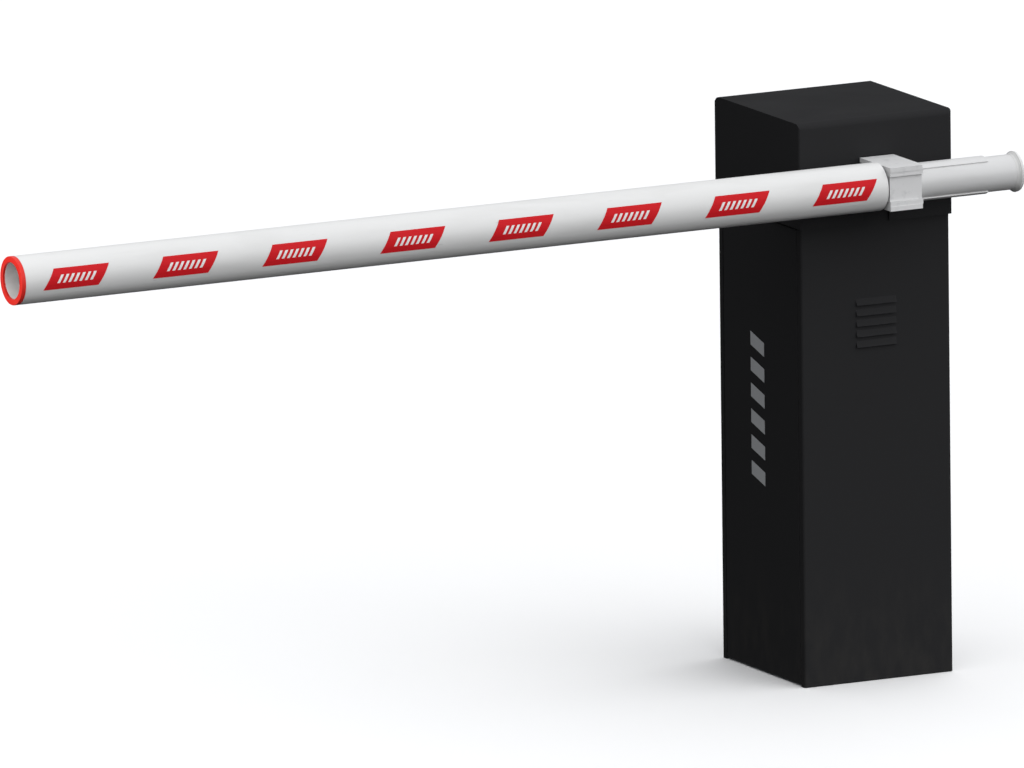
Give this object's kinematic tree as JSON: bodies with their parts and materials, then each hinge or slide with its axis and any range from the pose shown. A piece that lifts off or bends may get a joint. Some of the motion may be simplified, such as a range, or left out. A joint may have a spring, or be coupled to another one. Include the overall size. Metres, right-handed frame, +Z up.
{
  "type": "parking barrier gate",
  "caption": "Parking barrier gate: folded-steel drive cabinet with lift-off hood and side door, and a long round boom that a gearmotor swings up about a side shaft.",
  "frame": {"origin": "on the ground, centre of the anchor-bolt pattern in the base plate", "axes": "+Z up, -X along the boom towards its free end, -Y towards the side of the cabinet that the boom is on"},
  "size_m": [1.9535, 0.4414, 1],
  "materials": {
    "black_coat": "satin black powder coat on folded sheet steel",
    "grey_coat": "grey enamel on castings",
    "red_coat": "dark red primer on steel plate",
    "white_coat": "white powder coat on drawn aluminium tube",
    "tail_white": "white coat on drawn aluminium tube",
    "holder_grey": "satin light grey, extruded aluminium",
    "zinc": "bright zinc-plated steel",
    "galvanised": "galvanised sheet steel",
    "bare_steel": "turned steel, lightly oiled",
    "lever_steel": "phosphated steel",
    "cast_housing": "die-cast aluminium",
    "bronze": "bearing bronze",
    "spring_blue": "blue coated spring steel",
    "rubber": "black rubber",
    "black_plastic": "moulded black plastic",
    "grey_plastic": "moulded light grey plastic",
    "white_plastic": "moulded white plastic",
    "red_plastic": "moulded red plastic",
    "blue_plastic": "moulded blue plastic",
    "yellow_plastic": "moulded yellow plastic",
    "board_green": "green circuit board",
    "red_film": "red reflective film",
    "silver_film": "silver-grey printed film"
  },
  "bodies": {
    "cabinet": {"cabinet_body": "black_coat", "base_plate": "galvanised", "support_rails": "galvanised", "drive_frame": "red_coat", "frame_bolts": "zinc", "vent_screen": "galvanised", "hood_seals": "rubber", "pivot_pins": "bare_steel", "bearing_housings": "grey_coat", "bronze_bushes": "bronze", "bearing_bolts": "zinc", "stop_rollers": "rubber", "sensor_bracket": "galvanised", "limit_sensors": "blue_plastic", "gearbox_housing": "cast_housing", "gearbox_cover": "cast_housing", "gearbox_bolts": "zinc", "motor_casing": "grey_coat", "stator_core": "lever_steel", "motor_end_shield": "grey_coat", "motor_bearings": "bare_steel", "fan_cover": "black_coat", "terminal_box": "black_plastic", "capacitor": "white_plastic", "balance_spring": "spring_blue", "spring_anchor": "galvanised", "tension_bolt": "zinc", "control_box": "grey_plastic", "control_lid": "grey_plastic", "control_board": "board_green", "cable_glands": "black_plastic"},
    "boom_arm": {"main_shaft": "bare_steel", "shaft_keys": "lever_steel", "drive_lever": "lever_steel", "lever_pins": "bare_steel", "spring_lever": "lever_steel", "sensor_cam": "yellow_plastic", "boom_holder": "holder_grey", "holder_cover": "holder_grey", "boom_tube": "white_coat", "end_ring": "red_plastic", "boom_labels": "red_film", "tail_tube": "tail_white", "adapter_bushes": "black_plastic", "boom_screws": "zinc", "end_plug": "white_plastic"},
    "crank": {"output_shaft": "bare_steel", "crank_arm": "lever_steel", "crank_pin": "bare_steel", "worm_wheel": "bronze"},
    "link": {"rod_bar": "zinc", "rod_ends": "bare_steel"},
    "rotor": {"worm_rotor": "bare_steel"},
    "spring_link": {"spring_rod": "zinc"},
    "hood": {"hood": "black_coat"},
    "hood_lock": {"hood_lock": "zinc"},
    "door": {"door": "black_coat", "door_marks": "silver_film"},
    "door_bolt": {"door_bolt": "zinc"},
    "release": {"release_lever": "red_plastic"}
  },
  "joints": [
    {"name": "boom_lift", "type": "hinge", "parent": "cabinet", "child": "boom_arm", "pos_m": [0, 0, 0.893], "axis": [0, 1, 0], "range_deg": [0, 90], "deforming": ["balance_spring"]},
    {"name": "crank_turn", "type": "hinge", "parent": "cabinet", "child": "crank", "pos_m": [0, 0, 0.613], "axis": [0, 1, 0], "range_deg": [0, 90]},
    {"name": "link_swing", "type": "hinge", "parent": "crank", "child": "link", "pos_m": [0.0495, -0.073, 0.6625], "axis": [0, 1, 0], "range_deg": [-90, 0]},
    {"name": "rotor_spin", "type": "hinge", "parent": "cabinet", "child": "rotor", "pos_m": [-0.055, 0, 0.5], "axis": [0, 0, 1], "range_deg": [0, 3600]},
    {"name": "spring_swing", "type": "hinge", "parent": "boom_arm", "child": "spring_link", "pos_m": [0.0495, 0.085, 0.9425], "axis": [0, 1, 0], "range_deg": [-90, 0]},
    {"name": "hood_lift", "type": "slide", "parent": "cabinet", "child": "hood", "axis": [0, 0, 1], "range_m": [0, 0.2]},
    {"name": "hood_lock_turn", "type": "hinge", "parent": "hood", "child": "hood_lock", "pos_m": [-0.06, 0.155, 0.887], "axis": [0, 1, 0], "range_deg": [0, 90]},
    {"name": "door_swing", "type": "hinge", "parent": "cabinet", "child": "door", "pos_m": [-0.1395, 0.1315, 0.4], "axis": [0, 0, -1], "range_deg": [0, 100]},
    {"name": "door_bolt_slide", "type": "slide", "parent": "cabinet", "child": "door_bolt", "axis": [0, 0, -1], "range_m": [0, 0.014]},
    {"name": "release_turn", "type": "hinge", "parent": "cabinet", "child": "release", "pos_m": [0.02, 0.04, 0.647], "axis": [0, 1, 0], "range_deg": [0, 60]}
  ],
  "couplings": [
    {"joint": "crank_turn", "follows": "boom_lift", "ratio": 1},
    {"joint": "link_swing", "follows": "boom_lift", "ratio": -1},
    {"joint": "spring_swing", "follows": "boom_lift", "ratio": -1},
    {"joint": "rotor_spin", "follows": "boom_lift", "ratio": 40}
  ]
}
